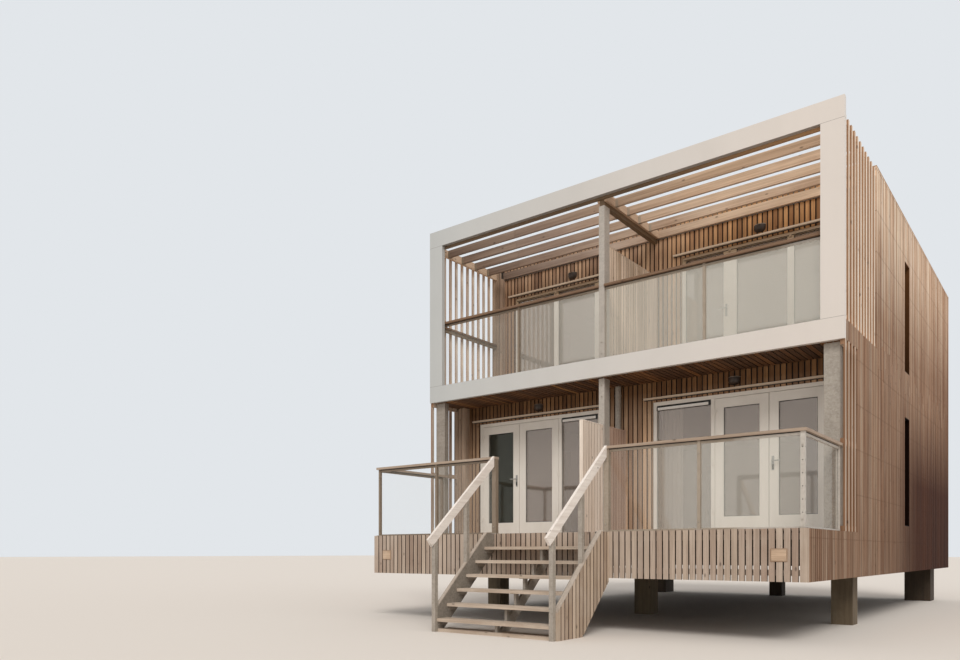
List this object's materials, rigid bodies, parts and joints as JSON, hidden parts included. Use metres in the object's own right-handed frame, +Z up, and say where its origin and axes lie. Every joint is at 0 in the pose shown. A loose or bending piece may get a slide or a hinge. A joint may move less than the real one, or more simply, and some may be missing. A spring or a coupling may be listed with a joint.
{
  "type": "beach house",
  "caption": "Timber beach house on piles with a white-framed balcony, glazed outward doors, front deck with glass balustrade and open stair.",
  "frame": {"origin": "on the ground at the middle of the footprint, stair included", "axes": "+X to the right along the front, +Y from the stair into the house, +Z up"},
  "size_m": [7.2, 12.755, 7.03],
  "materials": {
    "side_boards": "weathered softwood boards, grey-brown, matt",
    "facade_boards": "warm brown softwood battens, matt",
    "weathered_timber": "silver-grey sawn timber, matt",
    "structural_timber": "rough structural timber, matt",
    "frame_panel": "off-white panel, satin",
    "galvanised_steel": "hot-dip galvanised, mottled",
    "dark_steel": "dark grey paint, satin",
    "roof_sheet": "grey roof membrane, matt",
    "joinery_paint": "pale grey-cream paint, satin",
    "clear_glass": "clear float glass",
    "handle_metal": "satin stainless"
  },
  "bodies": {
    "house": {"back_wall": "side_boards", "balustrade_glass": "clear_glass", "cladding_back": "side_boards", "cladding_left": "side_boards", "cladding_right": "side_boards", "columns": "galvanised_steel", "deck": "weathered_timber", "deck_joists": "structural_timber", "downpipe": "galvanised_steel", "drip_boards": "joinery_paint", "floor_beams": "structural_timber", "frame_rails": "frame_panel", "frame_stiles": "frame_panel", "ground_floor": "structural_timber", "lower_divider": "facade_boards", "lower_glass": "clear_glass", "lower_head": "facade_boards", "lower_piers": "facade_boards", "lower_rails": "joinery_paint", "lower_screens": "side_boards", "lower_stiles": "joinery_paint", "pergola_steel": "dark_steel", "pergola_timbers": "weathered_timber", "piles": "structural_timber", "rail_caps": "weathered_timber", "rail_posts": "galvanised_steel", "roof": "roof_sheet", "side_wall_left": "side_boards", "side_wall_right": "side_boards", "skirt_front": "side_boards", "skirt_sides": "side_boards", "slot_glass": "clear_glass", "stair_cladding": "side_boards", "stair_handrails": "weathered_timber", "stair_posts": "weathered_timber", "stair_spine": "galvanised_steel", "stair_stringers": "galvanised_steel", "stair_treads": "weathered_timber", "upper_divider": "facade_boards", "upper_floor": "structural_timber", "upper_frames": "joinery_paint", "upper_glass": "clear_glass", "upper_head": "facade_boards", "upper_piers": "facade_boards", "upper_screens": "side_boards", "wall_lamps": "dark_steel"},
    "door_1": {"door_leaf_1": "joinery_paint", "door_glass_1": "clear_glass", "door_handle_1": "handle_metal"},
    "door_2": {"door_leaf_2": "joinery_paint", "door_glass_2": "clear_glass"},
    "door_3": {"door_leaf_3": "joinery_paint", "door_glass_3": "clear_glass"},
    "door_4": {"door_leaf_4": "joinery_paint", "door_glass_4": "clear_glass", "door_handle_4": "handle_metal"}
  },
  "joints": [
    {"name": "door_1_hinge", "type": "hinge", "parent": "house", "child": "door_1", "pos_m": [-3.037, -2.3835, 2.4], "axis": [0, 0, -1], "range_deg": [0, 90]},
    {"name": "door_2_hinge", "type": "hinge", "parent": "house", "child": "door_2", "pos_m": [-1.333, -2.3835, 2.4], "axis": [0, 0, 1], "range_deg": [0, 90]},
    {"name": "door_3_hinge", "type": "hinge", "parent": "house", "child": "door_3", "pos_m": [1.523, -2.3835, 2.4], "axis": [0, 0, -1], "range_deg": [0, 90]},
    {"name": "door_4_hinge", "type": "hinge", "parent": "house", "child": "door_4", "pos_m": [3.177, -2.3835, 2.4], "axis": [0, 0, 1], "range_deg": [0, 90]}
  ]
}
